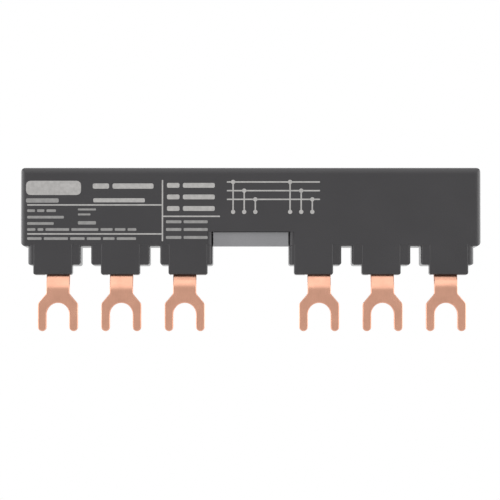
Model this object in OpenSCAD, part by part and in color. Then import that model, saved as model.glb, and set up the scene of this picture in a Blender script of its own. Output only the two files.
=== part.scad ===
// Three-phase busbar: an insulated link that feeds the same three phases to a row of
// motor-protective breakers. Three copper bars lie one behind the other in a moulded housing,
// and each sends one forked tongue down to every breaker. A cover closes the housing from behind.
//
// Frame: +X along the row, +Y from the printed face to the back, +Z up. The origin is the centre
// of the first fork's screw, in the middle of the copper.

/* [Breakers] */
// Number of breakers in the row
breakers = 2; // [2:1:4]
// Distance from one breaker to the next
breaker_pitch = 54; // [46:1:72]
// Distance between the poles of one breaker
pole_pitch = 13.1; // [12:0.1:15]

/* [Copper bars] */
// Thickness of the copper sheet
bar_t = 1.5; // [1:0.1:2]
// Height of the strip that joins a bar's tongues
bar_h = 10; // [6:0.5:14]
// Length of the strip beyond the edge of its last neck
bar_end = 0.8; // [0.5:0.1:2]
// Width of the neck above each fork
neck_w = 4.8; // [4:0.1:5.4]
// Lean of the first phase's sloping necks, from upright
lean_l1 = 34; // [28:1:52]
// Lean of the second phase's sloping necks, from upright
lean_l2 = 31; // [26:1:52]
// Lean of the third phase's sloping necks, from upright
lean_l3 = 42; // [38:1:52]
// Inside radius of the upper bends, in the housing
bend_r = 0.6; // [0.4:0.1:1.2]
// Inside radius of the lower bends, above the forks
fork_bend_r = 1.6; // [0.6:0.1:2.4]

/* [Forks] */
// Width of the slot that takes the terminal screw
slot_w = 4.7; // [4.2:0.1:5.4]
// Width of each tine
tine_w = 1.78; // [1.5:0.02:2.2]
// Length of the tines below the screw's centre
tine_len = 3.5; // [3:0.1:6]
// Height of the web between the slot and the neck
web_h = 1.9; // [1.6:0.1:3]
// Corner radius of the fork's shoulders
fork_r = 0.8; // [0.2:0.1:1]

/* [Housing] */
// Thickness of the front wall
front_wall = 1.8; // [1.4:0.1:2.4]
// Thickness of the top, bottom and end walls
wall = 1.4; // [1:0.1:1.8]
// How far the forks stand out from the printed face
fork_proud = 1.15; // [0.8:0.05:1.6]
// Height of the bosses' lower edge above the screws
boss_clear = 8.2; // [7:0.1:10]
// Height of a boss below its shoulders
boss_h = 2.05; // [1:0.05:3]
// Depth of a boss below its shoulders
boss_d = 4; // [3:0.1:6]
// Thickness of the front wall at the bosses' lower edge, where it tapers along the necks
lip_t = 0.4; // [0.2:0.05:1]
// Thinnest wall between a neck and the side of its boss
boss_wall = 0.45; // [0.4:0.05:1]
// How much wider the bosses are spaced than the poles
boss_spread = 0.9; // [0:0.1:1.2]
// Height of the shoulders below the body
shoulder_h = 3.85; // [2.5:0.05:6]
// How far the outer shoulders stand out beside their boss
shoulder_out = 1.1; // [0.5:0.1:1.4]
// How far the shoulders lie behind the printed face
shoulder_step = 0.12; // [0.05:0.01:0.6]
// Air gap between neighbouring towers
tower_gap = 2.2; // [1.5:0.1:3]
// How far these gaps lie outwards from the middle between two bosses
gap_out = 0.15; // [0:0.05:0.4]
// Height of the notch in the front wall between two breakers
notch_h = 3; // [2:0.05:5]
// Radius along the front edge of the top
top_r = 1.4; // [0.4:0.1:1.6]
// Radius along the upright front edges of the body, the notch and the outer shoulders
side_r = 1.2; // [0.3:0.1:1.6]
// Radius along the front edges beside the gaps between towers
gap_r = 0.5; // [0.2:0.1:1]
// Radius along the front of the body's lower edge
low_r = 0.6; // [0.2:0.1:1]
// Radius along the front edges of the bosses
boss_r = 0.35; // [0.1:0.05:0.7]
// Corner radius of the body, seen from the front
corner_r = 1; // [0.4:0.1:1.4]
// Corner radius of the shoulders and bosses
tower_r = 0.5; // [0.2:0.1:0.9]

/* [Cover and separators] */
// Thickness of the rear cover
cover_t = 1.6; // [1.2:0.1:2.4]
// Thickness of the shelf that closes the notch
shelf_t = 1.2; // [0.8:0.1:1.4]
// How far the shelf's front strip lies behind the printed face
shelf_step = 0.4; // [0.2:0.1:1.2]
// How far the shelf's floor lies above the lower edge of its front strip
shelf_rise = 0.4; // [0:0.1:0.6]
// How far the shelf reaches up behind the front wall
shelf_lap = 1.2; // [0.6:0.1:2]
// Thickness of the plugs that close the towers behind the necks
plug_h = 1; // [0.6:0.1:1.6]
// Thickness of the insulating separators
sep_t = 1; // [0.6:0.1:1.6]
// Diameter of the posts that carry the separators and the cover
post_d = 1.6; // [1.4:0.1:2.4]
// Width that the cover and the separators keep beside a post's hole
post_web = 0.55; // [0.4:0.05:1]

/* [Clearances] */
// Gap between neighbours in the stack of bars and separators
stack_gap = 0.1; // [0.05:0.01:0.2]
// Gap around the cover, the separators and the posts
fit_gap = 0.1; // [0.05:0.01:0.2]
// Gap above and below the strips
strip_gap = 0.35; // [0.1:0.05:0.6]
// Play of a neck in its boss, each side, when it lies in the middle
neck_gap = 0.3; // [0.15:0.01:0.5]
// Play that is left on the side where the bars lie
rest_gap = 0.06; // [0.02:0.01:0.1]
// Gap between a post and the longest bar
post_gap = 0.35; // [0.2:0.05:0.6]

/* [Hidden] */
$fn = 48;

phases = 3;
last_phase = phases - 1;
mid_phase = last_phase / 2;
last_breaker = breakers - 1;

// Cutters reach this far past the face they open.
past = 1;
// Steps along each computed arc.
arc_steps = 10;
// Slope of the forks' shoulders, from upright.
fork_slope = 40;
// Heights of the posts, as shares of the strips' height.
post_shares = [1 / 4, 3 / 4];

// Heights, from the screws upwards.
web_z = slot_w / 2 + web_h;
boss_z = boss_clear;
shoulder_z = boss_z + boss_h;
body_z = shoulder_z + shoulder_h;
notch_z = body_z + notch_h;

// Depths, from the printed face to the back.
face_y = fork_proud - bar_t / 2;
lip_y = face_y + lip_t;
room_y = face_y + front_wall;
stack_pitch = bar_t + sep_t + 2 * stack_gap;
function bar_y(p) = room_y + stack_gap + bar_t / 2 + p * stack_pitch;
function sep_y(s) = bar_y(s) + bar_t / 2 + stack_gap;
cover_y = bar_y(last_phase) + bar_t / 2 + stack_gap;
back_y = cover_y + cover_t;

// Each sloping neck, with the inside of the bend above it, just clears the lip of its boss and the
// taper above the lip. A plug fills the tower's floor from the neck to the cover.
leans = [lean_l1, lean_l2, lean_l3];
function slope_half(p) = bar_t / 2 / cos(leans[p]);
function bend_bulge(p) = bend_r * (1 / cos(leans[p] / 2) - 1) / cos(leans[p]);
function slope_y(p) = lip_y + stack_gap + bend_bulge(p) + slope_half(p);
function kink_z(p) = boss_z - slope_y(p) / tan(leans[p]);
function plug_y(p) = strip_gap + min(bar_y(p) + bar_t / 2,
    slope_y(p) + slope_half(p) + (shoulder_z + plug_h - boss_z) * tan(leans[p]));

// The separators and the strips start above the necks' upper bends.
function bend_ease(p, r) = (r + bar_t / 2) * tan(leans[p] / 2);
function bend_top(p) = kink_z(p) + bar_y(p) / tan(leans[p]) + bend_ease(p, bend_r);
sep_z = max(notch_z, max([for (p = [0:last_phase]) bend_top(p)])) + fit_gap;
strip_z = max(notch_z + shelf_lap, sep_z) + strip_gap;
room_top = strip_z + bar_h + strip_gap;
body_top = room_top + wall;

// Places along the row. The bars have slid to one side of their seats.
fork_w = slot_w + 2 * tine_w;
bar_shift = neck_gap - rest_gap;
boss_pitch = pole_pitch + boss_spread;
boss_w = neck_w + 2 * (neck_gap + boss_spread + boss_wall);
function fork_x(b, p) = b * breaker_pitch + p * pole_pitch;
function boss_x(b, p) = fork_x(b, mid_phase) + (p - mid_phase) * boss_pitch - bar_shift;
gap_reach = (boss_pitch - tower_gap) / 2;
function shoulder_reach(p, side) = p == mid_phase ? gap_reach + gap_out
    : side == p - mid_phase ? boss_w / 2 + shoulder_out : gap_reach - gap_out;
function shoulder_r(p, side) = side == p - mid_phase ? side_r : gap_r;
function tower_x0(b, p) = boss_x(b, p) - shoulder_reach(p, -1);
function tower_x1(b, p) = boss_x(b, p) + shoulder_reach(p, 1);
function neck_x(b, p, side) = fork_x(b, p) - bar_shift + side * (neck_w / 2 + neck_gap);
function notch_x0(b) = tower_x1(b, last_phase);
function notch_x1(b) = tower_x0(b + 1, 0);

// The posts stand between the longest bar and the end wall.
middle_x = (boss_x(0, mid_phase) + boss_x(last_breaker, mid_phase)) / 2;
post_x = fork_x(last_breaker, last_phase) + neck_w / 2 + bar_end + post_gap + post_d / 2 - middle_x;
room_half = post_x + post_d / 2 + 2 * fit_gap + post_web;
body_half = room_half + wall;
room_x0 = middle_x - room_half;
room_x1 = middle_x + room_half;
post_spots = [for (side = [-1, 1], share = post_shares)
    [middle_x + side * post_x, strip_z + share * bar_h]];

function arc(centre, r, from, to) =
    [for (i = [0:arc_steps]) centre + r * [cos(from + (to - from) * i / arc_steps),
                                           sin(from + (to - from) * i / arc_steps)]];

function flipped(points) = [for (i = [len(points) - 1:-1:0]) [-points[i].x, points[i].y]];

// A front view from x0, z0 to x1, z1.
module rect(x0, z0, x1, z1) {
    translate([x0, z0])
        square([x1 - x0, z1 - z0]);
}

module round_rect(x0, z0, x1, z1, r) {
    polygon(concat(arc([x1 - r, z1 - r], r, 0, 90),
                   arc([x0 + r, z1 - r], r, 90, 180),
                   arc([x0 + r, z0 + r], r, 180, 270),
                   arc([x1 - r, z0 + r], r, 270, 360)));
}

// A front view given depth, from y0 back to y1.
module deep(y0, y1) {
    translate([0, y1, 0])
        rotate([90, 0, 0])
            linear_extrude(y1 - y0)
                children();
}

// A side view, drawn in Y and Z, given length from x0 to x1.
module long(x0, x1) {
    translate([x0, 0, 0])
        rotate([90, 0, 90])
            linear_extrude(x1 - x0)
                children();
}

module each_tower() {
    for (b = [0:last_breaker], p = [0:last_phase])
        let ($breaker = b, $phase = p)
            children();
}

module each_notch() {
    for (b = [0:1:last_breaker - 1])
        let ($breaker = b)
            children();
}

module at_posts(d, y0, y1) {
    for (spot = post_spots)
        translate([spot.x, y1, spot.y])
            rotate([90, 0, 0])
                cylinder(d = d, h = y1 - y0);
}

// The sliver between a square corner and a round one of radius r, in the corner at the origin.
module corner_waste(r) {
    difference() {
        translate([-past, -past])
            square(r + past);
        translate([r, r])
            circle(r);
    }
}

// What rounds an upright edge at x from z0 to z1 by radius r. The solid lies on the side of +X,
// or on the other side if it is flipped.
module edge_waste(x, front_y, z0, z1, r, flip) {
    translate([x, front_y, z0])
        mirror([flip ? 1 : 0, 0, 0])
            linear_extrude(z1 - z0)
                corner_waste(r);
}

// A block in front view with corners of radius r. Its two upright edges at the front have radii of their own.
module front_block(x0, z0, x1, z1, r, front_y, end_y, edge_r0, edge_r1) {
    difference() {
        deep(front_y, end_y)
            round_rect(x0, z0, x1, z1, r);
        edge_waste(x0, front_y, z0 - past, z1 + past, edge_r0, false);
        edge_waste(x1, front_y, z0 - past, z1 + past, edge_r1, true);
    }
}

module body_shell() {
    x0 = middle_x - body_half;
    x1 = middle_x + body_half;
    difference() {
        front_block(x0, body_z, x1, body_top, corner_r, face_y, back_y, side_r, side_r);
        long(x0 - past, x1 + past) {
            translate([face_y, body_top])
                mirror([0, 1])
                    corner_waste(top_r);
            translate([face_y, body_z])
                corner_waste(low_r);
        }
    }
}

module tower_shell() {
    b = $breaker;
    p = $phase;
    x0 = boss_x(b, p) - boss_w / 2;
    x1 = boss_x(b, p) + boss_w / 2;
    front_block(tower_x0(b, p), shoulder_z, tower_x1(b, p), body_z + wall, tower_r,
                face_y + shoulder_step, back_y, shoulder_r(p, -1), shoulder_r(p, 1));
    difference() {
        front_block(x0, boss_z, x1, body_z + wall, tower_r, face_y, face_y + boss_d, boss_r, boss_r);
        long(x0 - past, x1 + past)
            translate([face_y, boss_z])
                corner_waste(boss_r);
    }
}

// The rooms of the housing in front view, each shrunk by gap: the main room for the strips,
// one under it for each breaker, one in each tower and a channel through each tower's floor.
module room_outline(gap) {
    rect(room_x0 + gap, notch_z + gap, room_x1 - gap, room_top - gap);
    for (b = [0:last_breaker])
        rect(tower_x0(b, 0) + wall + gap, body_z + wall + gap,
             tower_x1(b, last_phase) - wall - gap, notch_z + wall);
    each_tower() {
        rect(tower_x0($breaker, $phase) + wall + gap, shoulder_z + wall + gap,
             tower_x1($breaker, $phase) - wall - gap, body_z + 2 * wall);
        channel_outline(gap, shoulder_z, shoulder_z + 2 * wall);
    }
}

module channel_outline(gap, bottom, top) {
    rect(neck_x($breaker, $phase, -1) + gap, bottom,
         neck_x($breaker, $phase, 1) - gap, top);
}

// The channel down through a boss, with the taper that leaves the lip in front of the neck.
module boss_channel() {
    lean = leans[$phase];
    deep(room_y, back_y + past)
        channel_outline(0, boss_z - past, shoulder_z + past);
    long(neck_x($breaker, $phase, -1), neck_x($breaker, $phase, 1))
        polygon([[lip_y - past * tan(lean), boss_z - past], [room_y + past, boss_z - past],
                 [room_y + past, boss_z + (room_y + past - lip_y) / tan(lean)]]);
}

module notch() {
    x0 = notch_x0($breaker);
    x1 = notch_x1($breaker);
    deep(face_y - past, back_y + past)
        rect(x0, body_z - past, x1, notch_z);
    edge_waste(x0, face_y, body_z - past, notch_z, side_r, true);
    edge_waste(x1, face_y, body_z - past, notch_z, side_r, false);
}

module housing() {
    color([0.12, 0.12, 0.13]) {
        difference() {
            union() {
                body_shell();
                each_tower()
                    tower_shell();
            }
            deep(room_y, back_y + past)
                room_outline(0);
            each_tower()
                boss_channel();
            each_notch()
                notch();
        }
        at_posts(post_d, room_y - past, back_y);
    }
}

// A strip in front that fills the notch and laps up behind the front wall, as deep as the first
// bar's layer, a floor behind it and a strip of the cover.
module notch_shelf() {
    x0 = notch_x0($breaker) + fit_gap;
    x1 = notch_x1($breaker) - fit_gap;
    shelf_y = room_y + fit_gap;
    strip_end = sep_y(0) - fit_gap;
    floor_z = body_z + shelf_rise;
    deep(face_y + shelf_step, strip_end)
        rect(x0, body_z, x1, notch_z - fit_gap);
    deep(shelf_y, strip_end)
        rect(x0, body_z, x1, notch_z + shelf_lap);
    deep(shelf_y, back_y)
        rect(x0, floor_z, x1, floor_z + shelf_t);
    deep(cover_y, back_y)
        rect(x0, floor_z, x1, notch_z + shelf_lap);
}

module rear_cover() {
    color([0.55, 0.55, 0.56])
        difference() {
            union() {
                deep(cover_y, back_y)
                    room_outline(fit_gap);
                each_tower()
                    deep(plug_y($phase), back_y)
                        channel_outline(fit_gap, shoulder_z, shoulder_z + plug_h);
                each_notch()
                    notch_shelf();
            }
            at_posts(post_d + 2 * fit_gap, cover_y - past, back_y + past);
        }
}

module separator(s) {
    color([0.88, 0.86, 0.78])
        difference() {
            deep(sep_y(s), sep_y(s) + sep_t)
                rect(room_x0 + fit_gap, sep_z, room_x1 - fit_gap, room_top - fit_gap);
            at_posts(post_d + 2 * fit_gap, sep_y(s) - past, sep_y(s) + sep_t + past);
        }
}

// One fork in front view, with its neck up to height top.
module fork_outline(top) {
    rise = (fork_w - neck_w) / 2 / tan(fork_slope);
    ease = fork_r * tan(fork_slope / 2);
    side = concat(
        [[slot_w / 2, 0]],
        arc([(slot_w + tine_w) / 2, tine_w / 2 - tine_len], tine_w / 2, 180, 360),
        arc([fork_w / 2 - fork_r, web_z - rise - ease], fork_r, 0, fork_slope),
        arc([neck_w / 2 + fork_r, web_z + ease], fork_r, 180 + fork_slope, 180),
        [[neck_w / 2, top]]);
    difference() {
        polygon(concat(side, flipped(side)));
        circle(slot_w / 2);
    }
}

// The bent sheet of phase p in side view, from below the fork's tips up to the strip's plane.
module sheet_outline(p) {
    lean = leans[p];
    half = bar_t / 2;
    below = -tine_len - past;
    low = [fork_bend_r + half, kink_z(p) - bend_ease(p, fork_bend_r)];
    high = [bar_y(p) - bend_r - half, bend_top(p)];
    polygon(concat(
        [[-half, below], [half, below]],
        arc(low, fork_bend_r, 180, 180 - lean),
        arc(high, bend_r + bar_t, -lean, 0),
        [[bar_y(p) + half, strip_z + past], [bar_y(p) - half, strip_z + past]],
        arc(high, bend_r, 0, -lean),
        arc(low, fork_bend_r + bar_t, 180 - lean, 180)));
}

// One tongue of phase p: the fork and its neck, as if cut from the bent sheet.
module tongue(p) {
    intersection() {
        long(-fork_w / 2 - past, fork_w / 2 + past)
            sheet_outline(p);
        deep(-bar_t / 2 - past, bar_y(p) + bar_t / 2 + past)
            fork_outline(strip_z + past);
    }
}

module phase_bar(p) {
    color([0.86, 0.56, 0.42]) {
        deep(bar_y(p) - bar_t / 2, bar_y(p) + bar_t / 2)
            rect(fork_x(0, p) - neck_w / 2 - bar_end, strip_z,
                 fork_x(last_breaker, p) + neck_w / 2 + bar_end, strip_z + bar_h);
        for (b = [0:last_breaker])
            translate([fork_x(b, p), 0, 0])
                tongue(p);
    }
}

housing();
rear_cover();
separator(0);  // separator_front
separator(1);  // separator_rear
phase_bar(0);  // phase_bar_l1
phase_bar(1);  // phase_bar_l2
phase_bar(2);  // phase_bar_l3
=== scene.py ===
# %% [markdown]
# # A three-phase busbar for two motor-protective breakers
# The real object is a slim moulded housing with three copper bars inside, and six forked copper
# tongues that reach down to the breakers' terminals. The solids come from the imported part, in
# metres and in the part's own frame: +X along the row, +Y to the back, +Z up. This lesson gives
# them soft edges, print and finishes, and sets up the camera and the light.

# %% Load the frame
import math

import bmesh
import bpy
from mathutils import Matrix, Vector
from mathutils.bvhtree import BVHTree


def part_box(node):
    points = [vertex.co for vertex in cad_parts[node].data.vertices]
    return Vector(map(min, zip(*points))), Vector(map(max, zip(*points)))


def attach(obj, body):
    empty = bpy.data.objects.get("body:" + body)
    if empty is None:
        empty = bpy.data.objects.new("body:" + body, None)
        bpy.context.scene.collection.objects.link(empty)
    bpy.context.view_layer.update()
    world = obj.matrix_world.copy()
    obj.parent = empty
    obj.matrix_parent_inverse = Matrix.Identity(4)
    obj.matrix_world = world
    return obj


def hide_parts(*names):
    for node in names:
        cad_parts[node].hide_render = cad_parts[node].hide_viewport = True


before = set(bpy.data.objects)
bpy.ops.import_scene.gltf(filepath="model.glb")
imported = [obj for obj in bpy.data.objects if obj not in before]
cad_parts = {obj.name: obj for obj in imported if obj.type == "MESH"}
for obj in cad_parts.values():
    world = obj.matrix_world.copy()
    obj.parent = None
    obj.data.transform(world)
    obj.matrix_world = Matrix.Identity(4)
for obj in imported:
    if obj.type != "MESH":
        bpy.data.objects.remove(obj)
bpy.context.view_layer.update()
MM = 0.001
face_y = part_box("housing")[0].y
back_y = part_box("housing")[1].y
print("printed face at", round(face_y / MM, 2), "mm, back at", round(back_y / MM, 2), "mm")

# %% [markdown]
# ## The camera
# The photograph looks at the printed face from far away, so the lens is long. The camera stands a
# little below the object's middle: thin bright strips of the towers' undersides show. The width of
# the picture at the face follows from the forks' pitch. A distance and that width give the lens.

# %% Camera
PICTURE_WIDTH = 103.5 * MM
CAMERA_DISTANCE = 750 * MM
CAMERA_BELOW = math.radians(2)
SENSOR_WIDTH = 36
picture_middle = Vector((39.7 * MM, face_y, 13.3 * MM))

camera_data = bpy.data.cameras.new("camera")
camera_data.sensor_width = SENSOR_WIDTH
camera_data.lens = SENSOR_WIDTH * CAMERA_DISTANCE / PICTURE_WIDTH
camera_data.clip_start = 10 * MM
camera = bpy.data.objects.new("camera", camera_data)
line_of_sight = Vector((0, math.cos(CAMERA_BELOW), math.sin(CAMERA_BELOW)))
camera.location = picture_middle - CAMERA_DISTANCE * line_of_sight
camera.rotation_euler = (math.radians(90) + CAMERA_BELOW, 0, 0)
scene = bpy.context.scene
scene.collection.objects.link(camera)
scene.camera = camera
scene.view_settings.view_transform = "Standard"
print("lens", round(camera_data.lens, 1), "mm")

# %% [markdown]
# ## The light
# The photograph looks as if it was taken in a white light tent. A white world does the same: the
# camera sees plain white. Reflections see the same white, dimmer towards the front, where such a
# tent is open, and towards the table below. One soft box hangs above the front, and the sloping
# copper necks mirror it. One stands at each side, for the round edges, and a smaller one behind
# each end draws a light rim along it.

# %% World
SHED_LIGHT = 0.76
FRONT_DIM = 0.72
FRONT_SPAN = (-0.95, -0.5)
BELOW_DIM = 0.9
BELOW_SPAN = (-0.9, -0.1)

world = scene.world or bpy.data.worlds.new("studio")
scene.world = world
world.use_nodes = True
sky = world.node_tree
background = next(n for n in sky.nodes if n.type == "BACKGROUND")
background.inputs["Color"].default_value = (1, 1, 1, 1)


def ramp(tree, value, span, result, smooth=False):
    """Map a value from a span to a result, where each end may be a number or a socket."""
    node = tree.nodes.new("ShaderNodeMapRange")
    node.interpolation_type = "SMOOTHSTEP" if smooth else "LINEAR"
    tree.links.new(value, node.inputs["Value"])
    ends = zip(("From Min", "From Max", "To Min", "To Max"), (*span, *result))
    for title, number in ends:
        if isinstance(number, (int, float)):
            node.inputs[title].default_value = number
        else:
            tree.links.new(number, node.inputs[title])
    return node.outputs["Result"]


def maths(tree, operation, first, second):
    node = tree.nodes.new("ShaderNodeMath")
    node.operation = operation
    for socket, value in zip(node.inputs, (first, second)):
        if isinstance(value, (int, float)):
            socket.default_value = value
        else:
            tree.links.new(value, socket)
    return node.outputs[0]


ray = sky.nodes.new("ShaderNodeLightPath")
heading = sky.nodes.new("ShaderNodeSeparateXYZ")
sky.links.new(sky.nodes.new("ShaderNodeTexCoord").outputs["Generated"], heading.inputs[0])
tent = maths(sky, "MULTIPLY",
             ramp(sky, heading.outputs["Y"], FRONT_SPAN, (FRONT_DIM, 1), smooth=True),
             ramp(sky, heading.outputs["Z"], BELOW_SPAN, (BELOW_DIM, 1), smooth=True))
mirrored = maths(sky, "MAXIMUM", ray.outputs["Is Glossy Ray"], ray.outputs["Is Transmission Ray"])
shed = ramp(sky, mirrored, (0, 1), (SHED_LIGHT, tent))
sky.links.new(ramp(sky, ray.outputs["Is Camera Ray"], (0, 1), (shed, 1)), background.inputs["Strength"])
print("the world sheds", SHED_LIGHT, "and reflections see", FRONT_DIM, "in front")

# %% Soft boxes
SIDE_RADIANCE = 1.6
SIDE_DISTANCE = 0.6


def soft_box(name, side, distance, turn, rise, radiance):
    """A square lamp that faces the object, turned this far round it from the front and raised this far."""
    lamp = bpy.data.lights.new(name, "AREA")
    lamp.shape = "SQUARE"
    lamp.size = side
    lamp.energy = radiance * math.pi * side ** 2
    towards = Vector((math.sin(turn) * math.cos(rise), -math.cos(turn) * math.cos(rise), math.sin(rise)))
    box = bpy.data.objects.new(name, lamp)
    box.location = picture_middle + distance * towards
    box.rotation_euler = towards.to_track_quat("Z", "Y").to_euler()
    box.visible_camera = False
    scene.collection.objects.link(box)
    print(name, "of", side, "m at", [round(v, 2) for v in box.location])


soft_box("top_box", side=0.75, distance=0.52, turn=0, rise=math.radians(64), radiance=0.53)
for sign, title in ((-1, "left"), (1, "right")):
    soft_box(title + "_box", side=0.6, distance=SIDE_DISTANCE, turn=sign * math.radians(80),
             rise=math.radians(5), radiance=SIDE_RADIANCE)
    soft_box(title + "_rim_box", side=0.45, distance=SIDE_DISTANCE, turn=sign * math.radians(125),
             rise=math.radians(12), radiance=SIDE_RADIANCE)

# %% [markdown]
# ## Moulded plastic
# The housing and its cover are injection-moulded. The mould's face is spark-eroded, which leaves a
# fine even grain there, and its sides are polished, so that the part comes out. The melt leaves slow
# drifts in tone. A node group makes all this from Object coordinates and from a face attribute,
# polish, which is 0 on the front and back and 1 on the sides.

# %% Node helpers
GREY = "NodeSocketFloat"
COLOUR = "NodeSocketColor"


def socket_group(name, inputs, outputs):
    """A new shader group with these sockets, given as (name, type, default) and (name, type)."""
    group = bpy.data.node_groups.new(name, "ShaderNodeTree")
    for title, kind, value in inputs:
        socket = group.interface.new_socket(title, in_out="INPUT", socket_type=kind)
        socket.default_value = value
    for title, kind in outputs:
        group.interface.new_socket(title, in_out="OUTPUT", socket_type=kind)
    return group, group.nodes.new("NodeGroupInput").outputs, group.nodes.new("NodeGroupOutput").inputs


def noise(group, vector, scale, detail):
    node = group.nodes.new("ShaderNodeTexNoise")
    node.inputs["Scale"].default_value = scale
    node.inputs["Detail"].default_value = detail
    group.links.new(vector, node.inputs["Vector"])
    return node.outputs["Fac"]


NOISE_SPAN = (0.3, 0.7)


def spread(group, value, low, high):
    """Noise stays near 0.5, so its middle part is spread from low to high."""
    return ramp(group, value, NOISE_SPAN, (low, high))


def tinted(group, colour, factor):
    """A colour made lighter or darker by a factor."""
    node = group.nodes.new("ShaderNodeVectorMath")
    node.operation = "SCALE"
    group.links.new(colour, node.inputs[0])
    group.links.new(factor, node.inputs["Scale"])
    return node.outputs[0]


def object_place(group):
    return group.nodes.new("ShaderNodeTexCoord").outputs["Object"]


def attribute(group, name):
    node = group.nodes.new("ShaderNodeAttribute")
    node.attribute_name = name
    return node.outputs["Fac"]


# %% Moulded grain
GRAIN_SCALE = 5200
DRIFT_SCALE = 90
SIDE_GRAIN = 0.3
moulded_grain, given, made = socket_group(
    "moulded_grain",
    [("Colour", COLOUR, (0.05, 0.05, 0.05, 1)), ("Roughness", GREY, 0.5), ("Side roughness", GREY, 0.3)],
    [("Colour", COLOUR), ("Roughness", GREY), ("Height", GREY)])
place = object_place(moulded_grain)
polish = attribute(moulded_grain, "polish")
grain = noise(moulded_grain, place, GRAIN_SCALE, detail=3)
drift = noise(moulded_grain, place, DRIFT_SCALE, detail=4)
tone = maths(moulded_grain, "MULTIPLY", spread(moulded_grain, drift, 0.93, 1.07),
             spread(moulded_grain, grain, 0.95, 1.05))
matt = ramp(moulded_grain, polish, (0, 1), (given["Roughness"], given["Side roughness"]))
moulded_grain.links.new(tinted(moulded_grain, given["Colour"], tone), made["Colour"])
moulded_grain.links.new(maths(moulded_grain, "MULTIPLY", matt, spread(moulded_grain, drift, 0.95, 1.05)),
                        made["Roughness"])
relief = ramp(moulded_grain, polish, (0, 1), (1, SIDE_GRAIN))
moulded_grain.links.new(maths(moulded_grain, "MULTIPLY", grain, relief), made["Height"])


def finish_from(name, group, values, bump_depth, metallic=0.0):
    """A material whose colour, roughness and bump come from a group with these inputs."""
    material = bpy.data.materials.new(name)
    material.use_nodes = True
    tree = material.node_tree
    shader = next(n for n in tree.nodes if n.type == "BSDF_PRINCIPLED")
    shader.inputs["Metallic"].default_value = metallic
    pattern = tree.nodes.new("ShaderNodeGroup")
    pattern.node_tree = group
    for title, value in values.items():
        pattern.inputs[title].default_value = value
    tree.links.new(pattern.outputs["Colour"], shader.inputs["Base Color"])
    tree.links.new(pattern.outputs["Roughness"], shader.inputs["Roughness"])
    bump = tree.nodes.new("ShaderNodeBump")
    bump.inputs["Distance"].default_value = bump_depth
    tree.links.new(pattern.outputs["Height"], bump.inputs["Height"])
    tree.links.new(bump.outputs["Normal"], shader.inputs["Normal"])
    return material


housing_black = finish_from(
    "housing_black", moulded_grain,
    {"Colour": (0.0325, 0.031, 0.0335, 1), "Roughness": 0.5, "Side roughness": 0.26}, 0.02 * MM)
cover_grey = finish_from(
    "cover_grey", moulded_grain,
    {"Colour": (0.222, 0.222, 0.23, 1), "Roughness": 0.5, "Side roughness": 0.3}, 0.02 * MM)
separator_natural = finish_from(
    "separator_natural", moulded_grain, {"Colour": (0.75, 0.72, 0.62, 1), "Roughness": 0.45}, 0.01 * MM)
print("moulded finishes:", housing_black.name, cover_grey.name, separator_natural.name)

# %% [markdown]
# ## Rolled copper
# The bars are stamped from rolled copper sheet. Rolling leaves fine upright lines, and handling
# leaves soft blotches of oxide. One group makes both. The sheet's faces use it, and so do the sides
# that the punch has cut, which are a little darker and rougher.

# %% Rolled copper
LINE_SCALE = 9000
LINE_STRETCH = 0.06
BLOTCH_SCALE = 420
COPPER_RELIEF = 0.004 * MM

rolled_copper, given, made = socket_group(
    "rolled_copper",
    [("Colour", COLOUR, (0.6, 0.32, 0.23, 1)), ("Roughness", GREY, 0.3)],
    [("Colour", COLOUR), ("Roughness", GREY), ("Height", GREY)])
place = object_place(rolled_copper)
stretch = rolled_copper.nodes.new("ShaderNodeMapping")
stretch.inputs["Scale"].default_value = (1, 1, LINE_STRETCH)
rolled_copper.links.new(place, stretch.inputs["Vector"])
lines = noise(rolled_copper, stretch.outputs["Vector"], LINE_SCALE, detail=2)
blotches = noise(rolled_copper, place, BLOTCH_SCALE, detail=3)
tone = maths(rolled_copper, "MULTIPLY", spread(rolled_copper, blotches, 0.93, 1.07),
             spread(rolled_copper, lines, 0.97, 1.03))
dull = maths(rolled_copper, "MULTIPLY", given["Roughness"], spread(rolled_copper, blotches, 1.15, 0.88))
rolled_copper.links.new(tinted(rolled_copper, given["Colour"], tone), made["Colour"])
rolled_copper.links.new(dull, made["Roughness"])
rolled_copper.links.new(lines, made["Height"])

copper_sheet = finish_from("copper_sheet", rolled_copper,
                           {"Colour": (0.76, 0.403, 0.283, 1), "Roughness": 0.3}, COPPER_RELIEF, metallic=1.0)
copper_cut = finish_from("copper_cut", rolled_copper,
                         {"Colour": (0.72, 0.37, 0.26, 1), "Roughness": 0.4}, COPPER_RELIEF, metallic=1.0)
print("copper finishes:", copper_sheet.name, copper_cut.name)

# %% [markdown]
# ## Copies of the solids with soft edges
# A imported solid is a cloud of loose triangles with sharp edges. A copy is merged, its flat faces are
# joined, and every edge that turns more than a facet of a round does is marked sharp. Then the edges
# that a mould or a punch leaves round are bevelled, picked by where they lie.

# %% Copies
WELD = 0.002 * MM
FLAT = math.radians(0.6)
SAME_PLANE = 0.001 * MM


def whole_copy(node, facet):
    """A bmesh of a CAD node with whole faces, sharp wherever they turn more than a facet of a round."""
    bm = bmesh.new()
    bm.from_mesh(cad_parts[node].data)
    bmesh.ops.remove_doubles(bm, verts=bm.verts, dist=WELD)
    bmesh.ops.dissolve_limit(bm, angle_limit=FLAT, verts=bm.verts[:], edges=bm.edges[:])
    for face in bm.faces:
        face.smooth = True
    for edge in bm.edges:
        edge.smooth = edge.calc_face_angle(0) < facet
    return bm


def sharp_outward(bm, chosen):
    return [e for e in bm.edges if not e.smooth and e.is_convex and chosen(e)]


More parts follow.
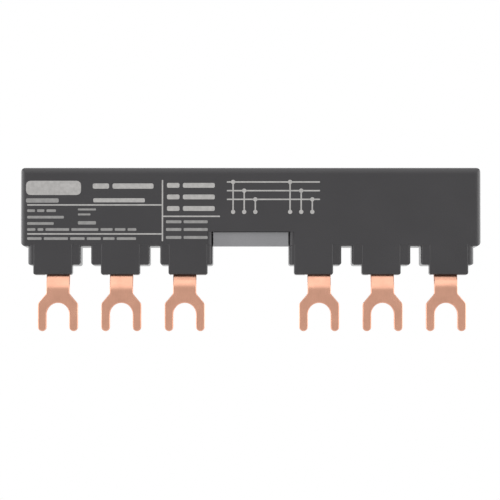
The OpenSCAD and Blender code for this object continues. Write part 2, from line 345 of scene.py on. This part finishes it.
def soften(bm, width, segments, chosen):
    """Round the sharp outward edges that the test chooses."""
    edges = sharp_outward(bm, chosen)
    for edge in edges:
        edge.smooth = True
    bmesh.ops.bevel(bm, geom=edges, offset=width, offset_type="OFFSET", segments=segments, profile=0.5,
                    affect="EDGES", clamp_overlap=False, material=-1)
    return len(edges)


def flush(edge, y):
    return all(abs(v.co.y - y) < SAME_PLANE for v in edge.verts)


FULLY_FRONT = 0.98
FULLY_SIDE = 0.58


def note_polish(bm):
    """Write down for each face how far it has turned from the front or back to a side."""
    layer = bm.faces.layers.float.new("polish")
    bm.normal_update()
    for face in bm.faces:
        turned = (FULLY_FRONT - abs(face.normal.y)) / (FULLY_FRONT - FULLY_SIDE)
        face[layer] = min(1, max(0, turned))


def as_piece(name, bm, materials, node=None):
    """Make the bmesh a piece of the object, which stands for a CAD node where one is named."""
    print(name, len(bm.faces), "faces,", sum(1 for e in bm.edges if len(e.link_faces) != 2), "open edges")
    mesh = bpy.data.meshes.new(name)
    bm.to_mesh(mesh)
    bm.free()
    for material in materials:
        mesh.materials.append(material)
    piece = bpy.data.objects.new(name, mesh)
    scene.collection.objects.link(piece)
    even = piece.modifiers.new("even_normals", "WEIGHTED_NORMAL")
    even.keep_sharp = True
    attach(piece, "root")
    if node:
        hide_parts(node)


# %% [markdown]
# ## The housing
# The housing is one moulding. The solid has the broad radii along its front. The lower edges of the
# set-back shoulders get small ones here, and so do the notch and the outer rim of the back. Where
# two of them run out side by side, faces without width are left, and these are dissolved.

# %% Housing
SHOULDER_STEP = 0.12 * MM
COVER_REACH = 0.2 * MM
cover_near = BVHTree.FromObject(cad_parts["rear_cover"], bpy.context.evaluated_depsgraph_get())


def beside_cover(edge):
    middle = (edge.verts[0].co + edge.verts[1].co) / 2
    return cover_near.find_nearest(middle)[3] < COVER_REACH


MOULD_FACET = math.radians(14)
FACE_ROUND = 0.05 * MM
SHOULDER_ROUND = 0.1 * MM
RIM_ROUND = 0.25 * MM
bm = whole_copy("housing", MOULD_FACET)
rounded = soften(bm, FACE_ROUND, 2, lambda e: flush(e, face_y))
rounded += soften(bm, SHOULDER_ROUND, 3, lambda e: flush(e, face_y + SHOULDER_STEP))
rounded += soften(bm, RIM_ROUND, 3, lambda e: flush(e, back_y) and not beside_cover(e))
bmesh.ops.dissolve_degenerate(bm, dist=WELD, edges=bm.edges[:])
note_polish(bm)
as_piece("housing_shell", bm, [housing_black], "housing")
print("housing:", rounded, "edges rounded")

# %% [markdown]
# ## The rear cover
# The grey cover closes the housing from behind. Its shelf shows from the front as a strip in the
# notch between the two groups of towers. Its outer rim is rounded. The holes that the posts fill
# stay sharp, and they are told apart by their short edges.

# %% Cover and separators
HOLE_FACET = 0.3 * MM
COVER_ROUND = 0.12 * MM
bm = whole_copy("rear_cover", MOULD_FACET)
rounded = soften(bm, COVER_ROUND, 2, lambda e: flush(e, back_y) and e.calc_length() > HOLE_FACET)
note_polish(bm)
as_piece("rear_cover_plate", bm, [cover_grey], "rear_cover")
print("cover:", rounded, "edges rounded")

for node in ("separator_front", "separator_rear"):
    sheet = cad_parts[node]
    sheet.data.materials.clear()
    sheet.data.materials.append(separator_natural)

# %% [markdown]
# ## The copper bars
# A punch presses the front edges of sheet metal round before it cuts, and leaves the back edges
# sharp. So the front edges get a roll. The sides that were cut get the darker, rougher finish.

# %% Copper bars
SHEET, CUT = 0, 1
CUT_LIMIT = 0.3
FRONT_LIMIT = -0.5


def is_cut(face):
    return abs(face.normal.y) < CUT_LIMIT


def faces_front(face):
    return face.normal.y < FRONT_LIMIT


def front_rim(edge):
    return any(map(is_cut, edge.link_faces)) and any(map(faces_front, edge.link_faces))


SHEET_FACET = math.radians(25)
ROLL = 0.2 * MM
for phase in (1, 2, 3):
    node = f"phase_bar_l{phase}"
    bm = whole_copy(node, SHEET_FACET)
    for face in bm.faces:
        face.material_index = CUT if is_cut(face) else SHEET
    rounded = soften(bm, ROLL, 5, front_rim)
    as_piece(f"copper_bar_l{phase}", bm, [copper_sheet, copper_cut], node)
    print(node, rounded, "edges rolled")

# %% [markdown]
# ## The print
# The real face carries pad-printed text, which this part leaves out. Plain bars stand where words
# would be, with the ruled lines, a blank field for the user's own mark and a plain wiring diagram.
# Ink has a thickness, so each mark is a very thin block that stands on the face. Marks that cross
# have different numbers of coats, so that their faces never share a plane. Places are given in
# millimetres, along the row and above the housing's lower edge.

# %% Ink
INK_COAT = 0.015 * MM
INK_RELIEF = 0.004 * MM
CLOUD_SCALE = 1500
ink_patches, given, made = socket_group(
    "ink_patches", [("Colour", COLOUR, (0.5, 0.5, 0.5, 1)), ("Roughness", GREY, 0.6)],
    [("Colour", COLOUR), ("Roughness", GREY), ("Height", GREY)])
cloud = noise(ink_patches, object_place(ink_patches), CLOUD_SCALE, detail=3)
shade = spread(ink_patches, cloud, 0.88, 1.08)
dull = maths(ink_patches, "MULTIPLY", given["Roughness"], spread(ink_patches, cloud, 1.05, 0.95))
ink_patches.links.new(tinted(ink_patches, given["Colour"], shade), made["Colour"])
ink_patches.links.new(dull, made["Roughness"])
ink_patches.links.new(cloud, made["Height"])
ink_full = finish_from("ink_full", ink_patches,
                       {"Colour": (0.40, 0.39, 0.38, 1), "Roughness": 0.55}, INK_RELIEF)
ink_thin = finish_from("ink_thin", ink_patches,
                       {"Colour": (0.27, 0.265, 0.26, 1), "Roughness": 0.55}, INK_RELIEF)
FULL, THIN = 0, 1

# %% Marks
CORNER_SHARE = 0.3
DOT_SIDES = 20
ink = bmesh.new()
print_base = Vector((0, face_y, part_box("housing")[0].z))


def mark(x0, z0, x1, z1, tone, coats=1):
    """A thin block of ink from one corner to the other, with small round corners."""
    size = Vector(((x1 - x0) * MM, 2 * coats * INK_COAT, (z1 - z0) * MM))
    centre = print_base + Vector((x0 + x1, 0, z0 + z1)) / 2 * MM
    place = Matrix.Translation(centre) @ Matrix.Diagonal((*size, 1))
    block = bmesh.ops.create_cube(ink, size=1, matrix=place)
    edges = {e for v in block["verts"] for e in v.link_edges}
    for face in {f for v in block["verts"] for f in v.link_faces}:
        face.material_index = tone
    upright = [e for e in edges if abs(e.verts[0].co.y - e.verts[1].co.y) > INK_COAT]
    bmesh.ops.bevel(ink, geom=upright, offset=min(size.x, size.z) * CORNER_SHARE, offset_type="OFFSET",
                    segments=3, profile=0.5, affect="EDGES", clamp_overlap=True, material=-1)


def words(x, z, height, lengths, gap=0.45, tone=THIN):
    """A row of plain bars from x to the right, as long as words would be."""
    for length in lengths:
        mark(x, z - height / 2, x + length, z + height / 2, tone)
        x += length + gap


def dot(x, z, radius, coats):
    turn = Matrix.Rotation(math.radians(90), 4, "X")
    place = Matrix.Translation(print_base + Vector((x, 0, z)) * MM) @ turn
    bmesh.ops.create_cone(ink, cap_ends=True, segments=DOT_SIDES, radius1=radius * MM, radius2=radius * MM,
                          depth=2 * coats * INK_COAT, matrix=place)


RULE = 0.15
LEFT = -6.44
MIDDLE = 4.06
DIVIDER = 21.57
SMALL = 0.55
TINY = 0.4
WIDE_GAP = 0.7
mark(LEFT, 14.44 - RULE, 21.47, 14.44 + RULE, FULL)
mark(LEFT, 8.43 - RULE, DIVIDER, 8.43 + RULE, FULL)
mark(DIVIDER - RULE, 6.92, DIVIDER + RULE, 19.61, FULL, 2)
mark(DIVIDER + RULE, 12.08 - RULE, 33.48, 12.08 + RULE, FULL)
mark(-6.69, 16.5, 4.7, 19.45, FULL)
words(-6.69, 15.36, 0.9, [6.77])
words(7.12, 18.35, 1.1, [3.4, 8.5], WIDE_GAP, FULL)
words(7.23, 15.4, 0.85, [10.7], tone=FULL)
words(LEFT, 13.25, SMALL, [1.6, 1.5, 1.95])
words(LEFT, 11.9, SMALL, [7.6])
words(LEFT, 10.59, SMALL, [5.5])
words(LEFT, 9.35, SMALL, [1.7, 1.2, 4.9, 5.6, 2.5, 2.2, 1.8])
words(LEFT, 7.47, SMALL, [3.0, 5.0, 3.0, 2.9, 2.4, 4.0])
words(MIDDLE, 13.5, TINY, [3.74])
words(MIDDLE, 12.47, TINY, [2.6])
words(MIDDLE, 10.73, 0.7, [3.75])
for z in (18.5, 16.1, 13.7):
    words(22.5, z, 1.0, [2.6, 6.6], WIDE_GAP, FULL)
for z in (10.95, 9.35, 7.7):
    words(22.3, z, 0.6, [3.2, 5.0])
print("print:", len(ink.faces), "faces of bars and rules")

# %% Wiring diagram
RAILS = (19.2, 17.4, 15.6)
TAP_END = 13.0
DOT = 0.45
TAPS = ((36.2, 38.5, 40.8), (48.0, 50.3, 52.6))
for rail, z in enumerate(RAILS):
    mark(34.9, z - RULE, 54.2, z + RULE, FULL)
    for group in TAPS:
        mark(group[rail] - RULE, TAP_END, group[rail] + RULE, z, FULL, 2)
        dot(group[rail], z, DOT, 3)
        dot(group[rail], TAP_END, DOT, 3)
bmesh.ops.recalc_face_normals(ink, faces=ink.faces[:])
as_piece("face_print", ink, [ink_full, ink_thin])

# %% [markdown]
# ## The floor
# A pale round floor lies below the picture. It takes the object's soft shadow and fades out towards
# its rim, so that it runs into the white world. Seen from below it is clear.

# %% Floor
FLOOR_DROP = 63.5 * MM
FLOOR_Z = picture_middle.z - FLOOR_DROP
FLOOR_RADIUS = 150 * MM
FLOOR_SIDES = 96
FADE_START = 60 * MM
FLOOR_WHITE = 0.89
FLOOR_ROUGHNESS = 0.8
floor_middle = Vector((picture_middle.x, face_y, FLOOR_Z))
bm = bmesh.new()
bmesh.ops.create_circle(bm, cap_ends=True, segments=FLOOR_SIDES, radius=FLOOR_RADIUS,
                        matrix=Matrix.Translation(floor_middle))
mesh = bpy.data.meshes.new("floor")
bm.to_mesh(mesh)
bm.free()
floor = bpy.data.objects.new("floor", mesh)
scene.collection.objects.link(floor)

floor_white = bpy.data.materials.new("floor_white")
floor_white.use_nodes = True
tree = floor_white.node_tree
shader = next(n for n in tree.nodes if n.type == "BSDF_PRINCIPLED")
shader.inputs["Roughness"].default_value = FLOOR_ROUGHNESS
shader.inputs["Base Color"].default_value = (FLOOR_WHITE, FLOOR_WHITE, FLOOR_WHITE, 1)
middle = tree.nodes.new("ShaderNodeVectorMath")
middle.operation = "DISTANCE"
middle.inputs[1].default_value = floor_middle
tree.links.new(tree.nodes.new("ShaderNodeTexCoord").outputs["Object"], middle.inputs[0])
fade = ramp(tree, middle.outputs["Value"], (FADE_START, FLOOR_RADIUS), (1, 0))
from_below = tree.nodes.new("ShaderNodeNewGeometry").outputs["Backfacing"]
tree.links.new(ramp(tree, from_below, (0, 1), (fade, 0)), shader.inputs["Alpha"])
mesh.materials.append(floor_white)
print("floor", round(-FLOOR_Z / MM, 1), "mm below the screws' axis")
